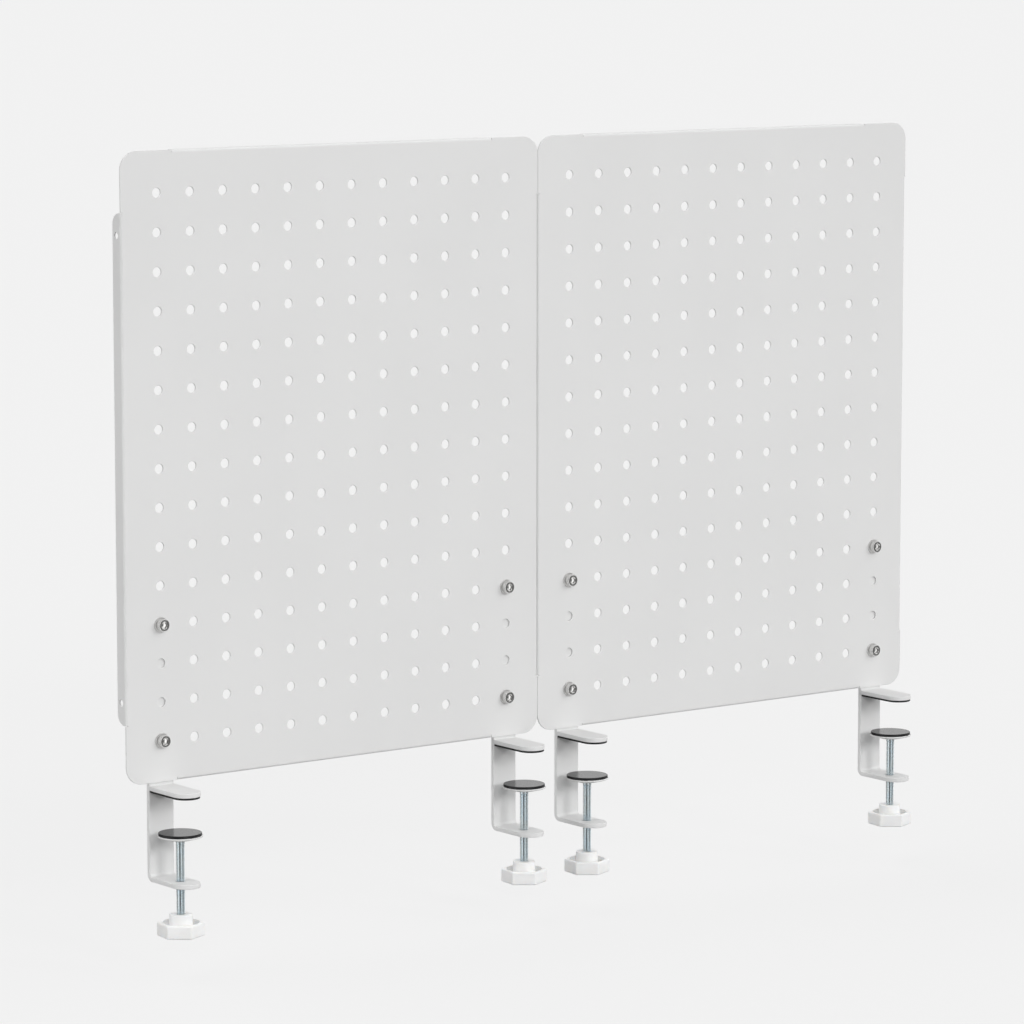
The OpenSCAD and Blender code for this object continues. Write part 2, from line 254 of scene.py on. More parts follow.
def plate(outline, holes, thickness, rim, steps=3):
    """A flat plate in u, v and w, whose cut edges are all rounded. Loops run counter-clockwise."""
    bm = bmesh.new()
    front = arc((rim, rim), rim, -QUARTER, -2 * QUARTER, steps)
    profile = front + [(inset, thickness - w) for inset, w in reversed(front)]
    ends = ([], [])
    for n, loop in enumerate([outline, *holes]):
        side = 1 if n else -1
        rings = [[bm.verts.new((u, v, w)) for u, v in outset(loop, side * inset)] for inset, w in profile]
        skin(bm, rings)
        for edges, verts in zip(ends, (rings[0], rings[-1])):
            edges += [bm.edges.get(pair) for pair in zip(verts, verts[1:] + verts[:1])]
    for edges in ends:
        bmesh.ops.triangle_fill(bm, use_beauty=True, edges=edges)
    return bm


def cut_across(bm, axis, places):
    """Cuts the plate along lines on which one coordinate has the given values."""
    direction = Vector((0, 0, 0))
    direction[axis] = 1
    for place in places:
        reach = [f for f in bm.faces
                 if min(v.co[axis] for v in f.verts) < place < max(v.co[axis] for v in f.verts)]
        parts = dict.fromkeys(part for f in reach for part in (f, *f.edges, *f.verts))
        bmesh.ops.bisect_plane(bm, geom=list(parts), dist=SNAP,
                               plane_co=direction * place, plane_no=direction)


def loft(rings):
    """A mesh through rings of points. A ring of one point is a pole."""
    bm = bmesh.new()
    skin(bm, [[bm.verts.new(p) for p in points] for points in rings])
    return bm


def ring(radius, z, angles):
    """A ring round Z: radius is a number, or a function of the angle."""
    at = radius if callable(radius) else lambda a: radius
    return [(at(a) * math.cos(a), at(a) * math.sin(a), z) for a in angles]


def round_angles(steps):
    return [2 * math.pi * t for t in shares(steps)[:-1]]


class Hexagon:
    """A hexagon with rounded corners, one of which lies at the angle turn."""

    def __init__(self, flats, corner, turn=0.0):
        self.apothem, self.corner, self.turn = flats / 2, corner, turn
        self.centre = (self.apothem - corner) / math.cos(math.pi / 6)
        self.spread = math.atan2(corner / 2, self.centre + corner * math.cos(math.pi / 6))

    def __call__(self, angle):
        """Radius at an angle."""
        off = abs((angle - self.turn + math.pi / 6) % (math.pi / 3) - math.pi / 6)
        if off >= self.spread:
            return self.apothem / math.cos(math.pi / 6 - off)
        return self.centre * math.cos(off) + math.sqrt(self.corner ** 2 - (self.centre * math.sin(off)) ** 2)

    def angles(self, arc_steps, flat_steps):
        """Angles of a ring's points, close together in the corners."""
        half = [self.spread * i / arc_steps for i in range(arc_steps)]
        half += [self.spread + (math.pi / 6 - self.spread) * i / flat_steps for i in range(flat_steps)]
        side = half + [math.pi / 6] + [math.pi / 3 - a for a in reversed(half[1:])]
        return [self.turn + n * math.pi / 3 + a for n in range(6) for a in side]


# The least bend that is rounded, in radians, and the most of a side that one rounding takes
STRAIGHT, LONGEST = 0.05, 0.49


def rounded(points, radius, steps=3):
    """A profile of (r, z) or (r, z, rounding) points, rounded between its ends, by default by radius."""
    made = [points[0][:2]]
    for before, here, after in zip(points, points[1:], points[2:]):
        size = here[2] if len(here) > 2 else radius
        p, a, b = (Vector(q[:2]) for q in (here, before, after))
        to_a, to_b = (a - p).normalized(), (b - p).normalized()
        bend = math.pi - to_a.angle(to_b, math.pi)
        if size <= 0 or bend < STRAIGHT:
            made.append(tuple(p))
            continue
        back = min(size * math.tan(bend / 2), (a - p).length * LONGEST, (b - p).length * LONGEST)
        start, end = p + to_a * back, p + to_b * back
        made += [tuple(start * (1 - t) ** 2 + p * (2 * t * (1 - t)) + end * t ** 2) for t in shares(steps)]
    return made + [points[-1][:2]]


def lathe(profile, angles):
    """Rings for a profile of (r, z) points round Z. A point with no radius is a pole."""
    return [[(0, 0, z)] if r == 0 else ring(r, z, angles) for r, z in profile]


# Rings to a turn of a thread, and the shares of its lead that its crest and its two flanks take
THREAD_RINGS, CREST, FLANKS = 10, 1 / 6, 0.58


def thread(radius, lead, depth, low, high, angles):
    """Rings of a right-hand thread round Z, fading out over its first and last turns."""
    rings = []
    for t in shares(round((high - low) / lead * THREAD_RINGS)):
        z = low + (high - low) * t
        fade = min(1.0, (z - low) / lead, (high - z) / lead)

        def at(angle, z=z, fade=fade):
            """Radius at an angle: across is 0 in the crest's middle and 1 in the root's."""
            across = 1 - abs(2 * ((z / lead - angle / (2 * math.pi)) % 1) - 1)
            return radius - depth * fade * min(1.0, max(0.0, (across - CREST) / FLANKS))
        rings.append(ring(at, z, angles))
    return rings


def moved(bm, place):
    """Moves every vertex by a function from its (u, v, w) to (x, y, z)."""
    for v in bm.verts:
        v.co = place(*v.co)
    return bm


def copied(bm, matrix):
    """Another mesh of the same shape, moved by a matrix."""
    new = bm.copy()
    new.transform(matrix)
    return new


def mesh_of(name, bm):
    """A mesh of the bmesh, which is used up."""
    mesh = bpy.data.meshes.new(name)
    bm.to_mesh(mesh)
    bm.free()
    return mesh


def copies(bm, matrices):
    """One mesh with a copy of another at each place. The other is used up."""
    whole = bmesh.new()
    for matrix in matrices:
        spare = mesh_of("spare", copied(bm, matrix))
        whole.from_mesh(spare)
        bpy.data.meshes.remove(spare)
    bm.free()
    return whole


def welded(bm):
    """The mesh with its first ring joined to its last."""
    bmesh.ops.remove_doubles(bm, verts=bm.verts, dist=MERGE)
    return bm


def linked(name, data):
    """A new object in the scene."""
    obj = bpy.data.objects.new(name, data)
    bpy.context.scene.collection.objects.link(obj)
    return obj


def piece(name, bm, body, slot, stands_for=(), crease=40.0, look=None):
    """Makes an object of the mesh in its slot's finish, or another look, and rides it on its body.

    It takes the place of the CAD nodes it stands for. Edges bent by more than crease degrees are sharp.
    """
    bmesh.ops.recalc_face_normals(bm, faces=bm.faces)
    mesh = mesh_of(name, bm)
    mesh.shade_smooth()
    mesh.set_sharp_from_angle(angle=math.radians(crease))
    mesh.materials.append(finish(look or slot))
    obj = linked(name, mesh)
    obj.modifiers.new("Face weighted normals", "WEIGHTED_NORMAL").keep_sharp = True
    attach(obj, body)
    if stands_for:
        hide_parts(*stands_for)
    return obj


class Term:
    """A value socket that takes part in arithmetic."""

    def __init__(self, tree, socket):
        self.tree, self.socket = tree, socket

    def math(self, operation, *values):
        return self.tree.node("Math", {"operation": operation}, dict(enumerate(values)))

    def __add__(self, other):
        return self.math("ADD", self, other)

    def __sub__(self, other):
        return self.math("SUBTRACT", self, other)

    def __rsub__(self, other):
        return self.math("SUBTRACT", other, self)

    def __mul__(self, other):
        return self.math("MULTIPLY", self, other)

    __radd__, __rmul__ = __add__, __mul__

    def between(self, low, high):
        """0 below low and 1 above high, with a smooth step."""
        return self.tree.node("MapRange", {"interpolation_type": "SMOOTHSTEP"}, {0: self, 1: low, 2: high})


class Tree:
    """A node tree, and the one way in which its nodes are made."""

    def __init__(self, owner):
        owner.use_nodes = True
        self.nodes, self.links = owner.node_tree.nodes, owner.node_tree.links
        self.nodes.clear()

    def node(self, kind, settings=None, values=None, output=0):
        """Adds a shader node, sets it up, fills its sockets and returns one of its outputs."""
        made = self.nodes.new("ShaderNode" + kind)
        for name, value in (settings or {}).items():
            setattr(made, name, value)
        for name, value in (values or {}).items():
            socket = made.inputs[name]
            if isinstance(value, Term):
                self.links.new(value.socket, socket)
            else:
                socket.default_value = (*value, 1) if socket.type == "RGBA" and len(value) == 3 else value
        return Term(self, made.outputs[output]) if made.outputs else None

    def noise(self, size, detail=2.0, roughness=0.5, stretch=(1, 1, 1)):
        """Noise with features of about the given size in metres, from 0 to 1."""
        place = self.node("TexCoord", output="Object")
        place = self.node("Mapping", {}, {"Vector": place, "Scale": stretch})
        return self.node("TexNoise", {}, {"Vector": place, "Scale": 1 / size,
                                          "Detail": detail, "Roughness": roughness})

    def cells(self, size):
        """Distance to the nearest of points that lie about the given size apart, in shares of it."""
        place = self.node("TexCoord", output="Object")
        return self.node("TexVoronoi", {}, {"Vector": place, "Scale": 1 / size})

    def mix(self, factor, one, two):
        """Mixes two colours."""
        return self.node("Mix", {"data_type": "RGBA"}, {0: factor, 6: one, 7: two}, output=2)

    def bump(self, *layers):
        """Stacked bumps, each a height from 0 to 1 and its depth in metres."""
        below = {}
        for height, depth in layers:
            values = {"Height": height, "Distance": depth, "Strength": 1.0, **below}
            below = {"Normal": self.node("Bump", {}, values)}
        return below["Normal"]

    def surface(self, **values):
        """The material's own shader, by its sockets' names."""
        made = self.node("BsdfPrincipled", {}, {k.replace("_", " "): v for k, v in values.items()})
        self.node("OutputMaterial", {}, {"Surface": made})


def shade(base, factor):
    """A colour made lighter or darker."""
    return tuple(min(1.0, c * factor) for c in base)


def powder_coat(tree, tint):
    """Satin powder coat: a faint orange peel, fine grain, specks and a film that varies a little."""
    peel, grain = tree.noise(1.6 * MM, detail=1.0), tree.noise(0.35 * MM)
    cloud, fleck = tree.noise(90 * MM), tree.cells(2.2 * MM)
    film = tree.mix(cloud.between(0.3, 0.7), shade(tint, 0.988), shade(tint, 1.006))
    tree.surface(
        Base_Color=tree.mix(fleck.between(0.05, 0.0) * 0.10, film, shade(tint, 0.86)),
        Roughness=0.46 + 0.07 * cloud + 0.06 * grain,
        Normal=tree.bump((peel, 0.018 * MM), (grain, 0.006 * MM)))


def moulded_plastic(tree, tint):
    """Nylon from a spark-eroded mould, a little translucent."""
    grain, flow = tree.noise(0.28 * MM, detail=3.0), tree.noise(14 * MM, stretch=(1, 1, 2.5))
    tree.surface(
        Base_Color=tree.mix(flow.between(0.3, 0.7), shade(tint, 0.975), shade(tint, 1.01)),
        Roughness=0.42 + 0.1 * grain,
        Subsurface_Weight=0.4, Subsurface_Radius=(1.0, 0.9, 0.8), Subsurface_Scale=3.0 * MM,
        Normal=tree.bump((flow, 0.03 * MM), (grain, 0.012 * MM)))


def smooth_rubber(tree, tint):
    """Moulded rubber: nearly smooth, so it shines at a low angle, with fine grain and dust."""
    grain, dust = tree.noise(0.4 * MM), tree.noise(3 * MM, detail=4.0, roughness=0.7)
    tree.surface(
        Base_Color=tree.mix(dust.between(0.56, 0.8) * 0.35, tint, shade(tint, 3.2)),
        Roughness=0.15 + 0.10 * dust + 0.04 * grain,
        IOR=1.3, Specular_IOR_Level=0.3,
        Normal=tree.bump((dust, 0.008 * MM), (grain, 0.002 * MM)))


def cell_foam(tree, tint):
    """Closed-cell foam: small domed cells of two sizes, on a slightly uneven face, with a painted highlight
    on each dome's top and painted shade in the creases between them.
    """
    cell, small = tree.cells(0.55 * MM), tree.cells(0.23 * MM)
    pore = tree.noise(0.9 * MM)
    tree.surface(
        # Painted highlight and painted shade: the colour follows the domes' bump, lighter on their tops and
        # darker in the creases between cells.
        Base_Color=tree.mix(cell.between(0.15, 0.6), shade(tint, 1.9), shade(tint, 0.8)),
        Roughness=0.72 + 0.16 * pore,
        Normal=tree.bump((1 - cell, 0.10 * MM), (1 - small, 0.04 * MM), (pore, 0.05 * MM)))


def zinc_plate(tree, tint):
    """Blue passivated zinc: cloudy bluish and straw tints, and fine drawn marks."""
    cloud, tone = tree.noise(7 * MM, detail=3.0, roughness=0.6), tree.noise(2.2 * MM)
    mark = tree.noise(0.5 * MM, detail=3.0, stretch=(1, 1, 0.12))
    blue, straw = (tint[0] * 0.96, tint[1], tint[2] * 1.04), (tint[0] * 1.04, tint[1], tint[2] * 0.94)
    bluish = tree.mix(cloud.between(0.35, 0.65), tint, blue)
    tree.surface(
        Base_Color=tree.mix(tone.between(0.58, 0.75) * 0.5, bluish, straw),
        Metallic=1.0,
        Roughness=0.17 + 0.08 * cloud + 0.05 * mark,
        Normal=tree.bump((mark, 0.003 * MM), (tone, 0.002 * MM)))


def nickel_plate(tree, tint):
    """Bright nickel over a turned head: slight haze and fine marks."""
    haze, mark = tree.noise(2.5 * MM, detail=3.0, roughness=0.6), tree.noise(0.3 * MM)
    tree.surface(
        Base_Color=tree.mix(haze.between(0.4, 0.7), tint, shade(tint, 0.88)),
        Metallic=1.0,
        Roughness=0.14 + 0.10 * haze + 0.05 * mark,
        Normal=tree.bump((mark, 0.003 * MM)))


def stamped_nickel(tree, tint):
    """Nickel over a stamped and tumbled washer: dull and evenly scuffed."""
    haze, mark = tree.noise(2.5 * MM, detail=3.0, roughness=0.6), tree.noise(0.3 * MM)
    tree.surface(
        Base_Color=tree.mix(haze.between(0.4, 0.7), tint, shade(tint, 0.92)),
        Metallic=1.0,
        Roughness=0.42 + 0.10 * haze,
        Normal=tree.bump((mark, 0.004 * MM)))


def spring_steel(tree, tint):
    """Oiled spring steel with darker clouds from its heat treatment."""
    cloud, mark = tree.noise(1.8 * MM, detail=3.0), tree.noise(0.25 * MM, stretch=(1, 4, 1))
    tree.surface(
        Base_Color=tree.mix(cloud.between(0.35, 0.7), tint, shade(tint, 0.62)),
        Metallic=1.0,
        Roughness=0.28 + 0.15 * cloud,
        Normal=tree.bump((mark, 0.004 * MM)))


FINISHES = {
    "white_powder_coat": (powder_coat, "coat"),
    "white_plastic": (moulded_plastic, "plastic"),
    "black_rubber": (smooth_rubber, "rubber"),
    "black_foam": (cell_foam, "foam"),
    "zinc_plate": (zinc_plate, "zinc"),
    "nickel_bolt": (nickel_plate, "nickel"),
    "nickel_washer": (stamped_nickel, "nickel"),
    "spring_steel": (spring_steel, "spring"),
}


def finish(slot):
    """The material of a finish, made the first time it is asked for."""
    found = bpy.data.materials.get(f"{slot}_finish")
    if found is None:
        found = bpy.data.materials.new(f"{slot}_finish")
        paint, name = FINISHES[slot]
        paint(Tree(found), tuple(getattr(bpy.context.scene.pegboard_finishes, name)))
    return found


def middle(node):
    """Centre of a CAD node's box."""
    low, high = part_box(node)
    return (low + high) / 2


def on_screw(k, bm, z=0.0):
    """A mesh moved from the origin to the axis of a clamp's screw."""
    at = middle(f"clamp_screw_{k}")
    bm.transform(Matrix.Translation((at.x, at.y, z)))
    return bm


class PEGBOARD_OT_boards(bpy.types.Operator):
    """Two perforated sheets, each cut flat with rounded edges and then folded back along its four sides"""

    bl_idname = "pegboard.make_boards"
    bl_label = "Make Boards"

    def blank(self, s):
        """Outline and holes of the flat blank, the developed length of a bend, and two pairs (across, up).

        The pairs are half the board's size, and half the length of the folded edges.
        """
        bend = (s.bend - s.sheet / 2) * QUARTER
        flap = bend + s.depth - s.bend
        half = (s.width / 2, s.height / 2)
        run = [h - s.stop for h in half]

        def flap_end(across, along):
            """One end of a flap, and the cut that frees it from the flat, as (across, along)."""
            out, slit, end = across - s.bend + flap, across - s.bend - s.slit, along - s.relief
            points = arc((out - s.fold_end, end - s.fold_end), s.fold_end, 0, QUARTER, 10)
            return points + [(slit, end), (slit, along), (across, along)]
        corner = arc((half[0] - s.corner, half[1] - s.corner), s.corner, 0, QUARTER, 16)
        side = flap_end(half[0], run[1]) + corner + [(v, u) for u, v in reversed(flap_end(half[1], run[0]))]
        outline = []
        for n in range(4):
            mirror = (1 if n in (0, 3) else -1, 1 if n < 2 else -1)
            part = [(u * mirror[0], v * mirror[1]) for u, v in side]
            outline += part if n % 2 == 0 else part[::-1]
        first = (-(s.columns - 1) / 2 * s.pitch, -(s.rows - 1) / 2 * s.pitch)
        holes = [circle((first[0] + c * s.pitch, first[1] + r * s.pitch), s.hole)
                 for c in range(s.columns) for r in range(s.rows)]
        at = half[0] - s.bend + bend + s.joining_back - s.bend
        holes += [circle((x * at, z * (run[1] - s.joining_inset)), s.joining_hole, 28)
                  for x in (-1, 1) for z in (-1, 1)]
        return outline, holes, bend, half, run

    def execute(self, context):
        s = context.scene.pegboard_board
        outline, holes, bend, half, run = self.blank(s)
        bm = plate(outline, holes, s.sheet, s.rim)
        for axis in (0, 1):
            start = half[axis] - s.bend
            cut_across(bm, axis, [side * (start + bend * t) for side in (-1, 1) for t in shares(6)])

        def fold(u, v, w):
            """Where a point of the blank lies after folding."""
            for axis, (across, along) in enumerate(((u, v), (v, u))):
                past = abs(across) - (half[axis] - s.bend)
                if past <= 0 or abs(along) > run[1 - axis] - s.relief / 2:
                    continue
                inner = s.bend - w
                turn = min(past / bend, 1) * QUARTER
                out = half[axis] - s.bend + inner * math.sin(turn)
                back = s.bend - inner * math.cos(turn) + max(0, past - bend)
                across = math.copysign(out, across)
                return (across, back, along) if axis == 0 else (along, back, across)
            return u, w, v
        moved(bm, fold)
        for side in ("left", "right"):
            low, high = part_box(f"board_{side}")
            place = Matrix.Translation(((low.x + high.x) / 2, low.y, (low.z + high.z) / 2))
            piece(f"peg_board_{side}", copied(bm, place), ROOT, "white_powder_coat", [f"board_{side}"])
        bm.free()
        return {"FINISHED"}


class PEGBOARD_OT_brackets(bpy.types.Operator):
    """Flat bars with round ends, bent forward under the desk"""

    bl_idname = "pegboard.make_brackets"
    bl_label = "Make Clamp Brackets"

    def execute(self, context):
        s = context.scene.pegboard_clamp
        bend = (s.bend + s.bar_thickness / 2) * QUARTER
        for k in CLAMPS:
            low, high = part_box(f"bracket_{k}")
            x, half = (low.x + high.x) / 2, s.bar / 2
            start = low.z + s.bar_thickness + s.bend
            arm = start - bend + s.bend  # a place on the arm lies at arm + y on the blank
            outline = arc((0, high.z - half), half, 0, math.pi, 40)
            outline += arc((0, arm + low.y + half), half, math.pi, 2 * math.pi, 40)
            bolts = [circle((0, z), s.bolt_hole) for z in bolt_heights(k)]
            screw = circle((0, arm + middle(f"clamp_screw_{k}").y), s.rod + 2 * s.running, 40)
            bm = plate(outline, [*bolts, screw], s.bar_thickness, s.rim)
            cut_across(bm, 1, [start - bend * t for t in shares(10)])

            def shape(u, v, w):
                """Where a point of the flat bar lies after bending."""
                past = start - v
                if past <= 0:
                    return x + u, w, v
                turn = min(past / bend, 1) * QUARTER
                radius = s.bend + w
                rest = max(0, past - bend)
                return x + u, -s.bend + radius * math.cos(turn) - rest, start - radius * math.sin(turn)
            piece(f"clamp_bracket_{k}", moved(bm, shape), ROOT, "white_powder_coat", [f"bracket_{k}"])
        return {"FINISHED"}


def bolt_heights(k):
    """Heights of a clamp's two bolts."""
    low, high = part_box(f"board_bolts_{k}")
    radius = bpy.context.scene.pegboard_bolt.head / 2
    return low.z + radius, high.z - radius


class PEGBOARD_OT_jaws(bpy.types.Operator):
    """Upper jaws, each with the weld that holds it to its column and the pad under it"""

    bl_idname = "pegboard.make_jaws"
    bl_label = "Make Jaws"

    def strip(self, node, steps, rim, rim_steps):
        """A flat strip for a node, with a full round end at its front."""
        low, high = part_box(node)
        x, half, reach = (low.x + high.x) / 2, (high.x - low.x) / 2, high.y - low.y
        outline = [(half, 0), *arc((0, reach - half), half, 0, math.pi, steps), (-half, 0)]
        bm = plate(outline, [], high.z - low.z, rim, rim_steps)
        return moved(bm, lambda u, v, w: (x + u, high.y - v, low.z + w))

    def weld(self, s, x, top):
        """A fillet of overlapping ripples along the jaw's root, its back sunk in jaw and column."""
        half, sunk = s.bar / 2 - s.weld_stop, 0.15 * MM
        bm = bmesh.new()
        loops = []
        for t in shares(72):
            taper = max(0.12, math.sqrt(1 - abs(2 * t - 1) ** 7))
            ripple = 0.90 + 0.05 * abs(math.sin(t * 40)) + 0.03 * math.sin(t * 9 + 1)
            leg = s.weld * ripple * taper
            section = [(sunk, -sunk), (sunk, leg), *arc((0, 0), leg, QUARTER, 2 * QUARTER, 9), (-leg, -sunk)]
            loops.append([bm.verts.new((x - half + 2 * half * t, y, top + up)) for y, up in section])
        skin(bm, loops)
        bm.faces.new(loops[0])
        bm.faces.new(loops[-1])
        return bm

    def execute(self, context):
        s = context.scene.pegboard_clamp
        for k in CLAMPS:
            jaw = self.strip(f"jaw_{k}", 32, s.rim, 3)
            piece(f"upper_jaw_{k}", jaw, ROOT, "white_powder_coat", [f"jaw_{k}"])
            weld = self.weld(s, middle(f"jaw_{k}").x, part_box(f"jaw_{k}")[1].z)
            piece(f"jaw_weld_{k}", weld, ROOT, "white_powder_coat")
            pad = self.strip(f"jaw_pad_{k}", 48, s.pad_rim, 4)
            piece(f"jaw_pad_strip_{k}", pad, ROOT, "black_foam", [f"jaw_pad_{k}"])
        return {"FINISHED"}


class PEGBOARD_OT_clamp_screws(bpy.types.Operator):
    """Clamp screws with a cut thread, a neck and a spigot for the foot"""

    bl_idname = "pegboard.make_clamp_screws"
    bl_label = "Make Clamp Screws"

    def execute(self, context):
        s = context.scene.pegboard_clamp
        angles = round_angles(40)
        radius, neck, spigot, groove = s.rod / 2, s.neck / 2, s.spigot / 2, s.groove / 2
        run_out, step, tip, fine, soft = 0.3 * MM, 0.25 * MM, 0.2 * MM, 0.05 * MM, 0.1 * MM
        for k in CLAMPS:
            low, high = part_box(f"clamp_screw_{k}")
            clip_low, clip_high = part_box(f"foot_clip_{k}")
            bottom = low.z + s.screw_end
            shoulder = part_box(f"foot_dish_{k}")[0].z - s.tilt_gap
            foot = shoulder - s.neck_height
            top = foot - run_out
            rings = lathe([(0, low.z), (radius - s.screw_end, low.z), (radius, bottom)], angles)
            rings += thread(radius, s.lead, s.thread_depth, bottom, top, angles)[1:-1]
            rings += lathe(rounded([
                (radius, top), (radius - step, foot, fine), (neck, foot, fine), (neck, shoulder, soft),
                (spigot, shoulder, soft), (spigot, clip_low.z, fine), (groove, clip_low.z, fine),
                (groove, clip_high.z, fine), (spigot, clip_high.z, fine), (spigot, high.z - tip, soft),
                (groove, high.z, soft), (0, high.z)], 0), angles)
            bm = on_screw(k, loft(rings))
            piece(f"threaded_rod_{k}", bm, f"screw_{k}", "zinc_plate", [f"clamp_screw_{k}"], 50)
        return {"FINISHED"}


class PEGBOARD_OT_knobs(bpy.types.Operator):
    """Hexagonal knobs with soft edges, hollow round their hubs"""

    bl_idname = "pegboard.make_knobs"
    bl_label = "Make Knobs"

    def execute(self, context):
        s = context.scene.pegboard_clamp
        grip = Hexagon(s.knob_flats, s.knob_corner, s.knob_turn)
        angles = grip.angles(5, 6)
        hub, rod, hollow, edge = s.hub / 2, s.rod / 2, grip.apothem - s.knob_wall, s.knob_edge
        recess, step, land, flat, rise = 4.2 * MM, 4.9 * MM, 6.0 * MM, 9.5 * MM, 0.25 * MM
        lip, draft, taper, sink, play = 0.35 * MM, 0.3 * MM, 0.25 * MM, 0.3 * MM, 0.02 * MM
        corner, mouth = 0.9 * MM, rod + 0.25 * MM
        insets = arc((edge, edge), edge, -QUARTER, -2 * QUARTER, 5)

        def rim(inset, z):
            """A ring of the grip, drawn in from its outline."""
            return ring(lambda a: grip(a) - inset, z, angles)
        for k in CLAMPS:
            low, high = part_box(f"knob_{k}")
            bottom, top = low.z, low.z + s.knob_height
            dent, floor = bottom + s.knob_dent, top - s.hollow
            crown, seat = high.z - 0.1 * MM, high.z - s.screw_seat
            rings = lathe(rounded([
                (0, dent), (recess, dent), (step, bottom + rise), (land, bottom, 0.3 * MM), (flat, bottom)],
                0.4 * MM), angles)
            rings += [rim(inset, bottom + up) for inset, up in insets]
            rings += [rim(0, bottom + s.knob_height / 2)]
            rings += [rim(inset, top - up) for inset, up in reversed(insets)]
            rings += lathe(rounded([
                (hollow + lip, top), (hollow, top, 0.45 * MM), (hollow - draft, floor, corner),
                (hub + taper, floor, corner), (hub, crown, 0.7 * MM), (mouth, crown, 0.0),
                (rod + play, crown - sink, 0.0), (rod + play, seat)], 0, 4) + [(0, seat)], angles)
            bm = on_screw(k, loft(rings))
            piece(f"hex_knob_{k}", bm, f"screw_{k}", "white_plastic", [f"knob_{k}"], 60)
        return {"FINISHED"}


class PEGBOARD_OT_feet(bpy.types.Operator):
    """Swivelling feet: pressed dishes, rubber pads and retaining clips"""

    bl_idname = "pegboard.make_feet"
    bl_label = "Make Feet"

    def execute(self, context):
        s, groove = context.scene.pegboard_foot, context.scene.pegboard_clamp.groove / 2
        angles = round_angles(120)
        hole, floor, side, rise, face = s.hole / 2, s.floor / 2, 0.15 * MM, 0.2 * MM, 2.2 * MM
        start, end = s.clip_gap / 2, 2 * math.pi - s.clip_gap / 2
        for k in CLAMPS:
            low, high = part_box(f"foot_dish_{k}")
            r, inside = (high.x - low.x) / 2, low.z + s.sheet
            dish = rounded([
                (hole, low.z + rise), (hole + side, low.z), (floor, low.z, 2.5 * MM),
                (r, high.z - s.lip, 1.2 * MM), (r, high.z, 0.35 * MM), (r - s.rim, high.z, 0.3 * MM),
                (floor, inside, 2.0 * MM), (hole + side, inside), (hole, inside - rise),
                (hole, low.z + rise)], 0.1 * MM, 5)
            bm = on_screw(k, welded(loft(lathe(dish, angles))))
            piece(f"pressed_dish_{k}", bm, f"foot_{k}", "white_powder_coat", [f"foot_dish_{k}"])
            low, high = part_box(f"foot_pad_{k}")
            r = (high.x - low.x) / 2
            disc = rounded([(0, low.z), (r, low.z, 0.15 * MM), (r, high.z, 0.4 * MM),
                            (r - face, high.z, 0.0), (0, high.z)], 0, 5)
            bm = on_screw(k, loft(lathe(disc, angles)))
            piece(f"rubber_disc_{k}", bm, f"foot_{k}", "black_rubber", [f"foot_pad_{k}"])
            low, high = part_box(f"foot_clip_{k}")
            outline = arc((0, 0), (high.x - low.x) / 2, start, end, 40) + arc((0, 0), groove, end, start, 24)
            bm = on_screw(k, plate(outline, [], high.z - low.z, 0.08 * MM, 2), low.z)
            piece(f"retaining_clip_{k}", bm, f"carriage_{k}", "spring_steel", [f"foot_clip_{k}"])
        return {"FINISHED"}


def socket_head(size, lead, head, height, edge, socket, run):
    """A low cylinder head above z = 0 with a hexagon socket, and its threaded shank below."""
    key = Hexagon(socket, 0.12 * MM)
    angles = key.angles(3, 4)
    r, radius, across, floor = head / 2, size / 2, socket / 2 * 1.16, height / 2
    chamfer, point, tip, depth, drill = 0.15 * MM, 0.55 * MM, 0.45 * MM, 0.35 * MM, 0.6 * MM
    start = tip - run
    rings = lathe([(0, -run), (radius - point, -run), (radius - 0.1 * MM, start)], angles)
    rings += thread(radius, lead, 0.6 * lead, start, 0, angles)[1:-1]
    rings += lathe(rounded([
        (radius, 0), (r - chamfer, 0, 0.0), (r, chamfer, 0.1 * MM), (r, height, edge),
        (across + 0.25 * MM, height, 0.0), (across + 0.05 * MM, height - chamfer)], 0, 4), angles)
    rings += [ring(key, height - depth, angles), ring(key, floor, angles),
              ring(socket * 0.3, floor - depth, angles), [(0, 0, floor - drill)]]
    return loft(rings)


def hex_nut(flats, height, bore):
    """A hexagon nut above z = 0, chamfered on both faces."""
    body = Hexagon(flats, 0.15 * MM)
    angles = body.angles(2, 7)
    face, chamfer, sink, flare = body.apothem * 0.97, 0.65 * MM, 0.35 * MM, 0.4 * MM

    def cone(t):
        """Radius at a share t through the chamfer, from the face to the corners."""
        limit = face + (body(body.turn) + 0.05 * MM - face) * t
        return lambda a: min(body(a), limit)
    mouth = [(bore, height / 2), (bore, sink), (bore + flare, 0)]
    half = mouth + [(cone(t), chamfer * t) for t in shares(6)]
    rings = [ring(r, z, angles) for r, z in half]
    rings += [ring(r, height - z, angles) for r, z in reversed(half)]
    return welded(loft(rings))


